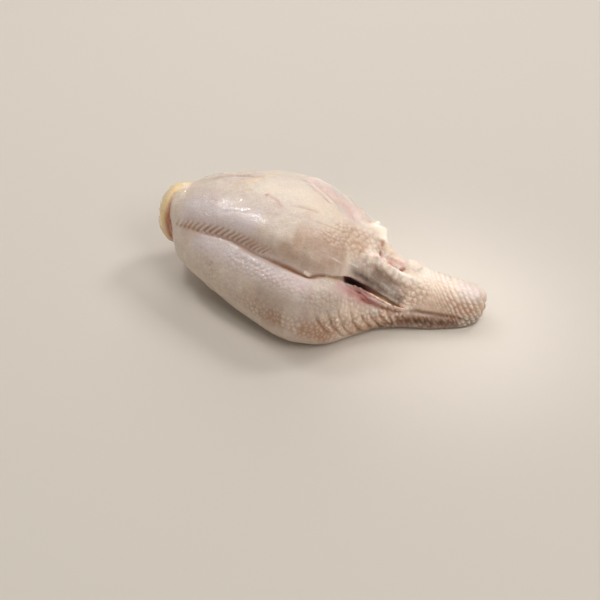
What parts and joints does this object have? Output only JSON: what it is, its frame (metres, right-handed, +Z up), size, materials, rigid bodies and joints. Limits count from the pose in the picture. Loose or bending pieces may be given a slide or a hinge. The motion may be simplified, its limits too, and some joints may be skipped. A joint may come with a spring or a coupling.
{
  "type": "raw chicken breast on the bone",
  "caption": "Raw whole chicken breast on the bone in its skin, lying on its ribs, with a keel crease, a torn fold at the shoulder and the long wrinkled neck skin left on.",
  "frame": {"origin": "centre of the bounding box's bottom face, on the surface the breast rests on", "axes": "+X along the breast from its tail end to the cut end of the neck skin, +Y across it towards the high lobe, +Z up"},
  "size_m": [0.2478, 0.137, 0.0778],
  "materials": {
    "raw_skin": "raw wet skin, semi-gloss"
  },
  "bodies": {
    "root": {"chicken_breast": "raw_skin"}
  },
  "joints": []
}
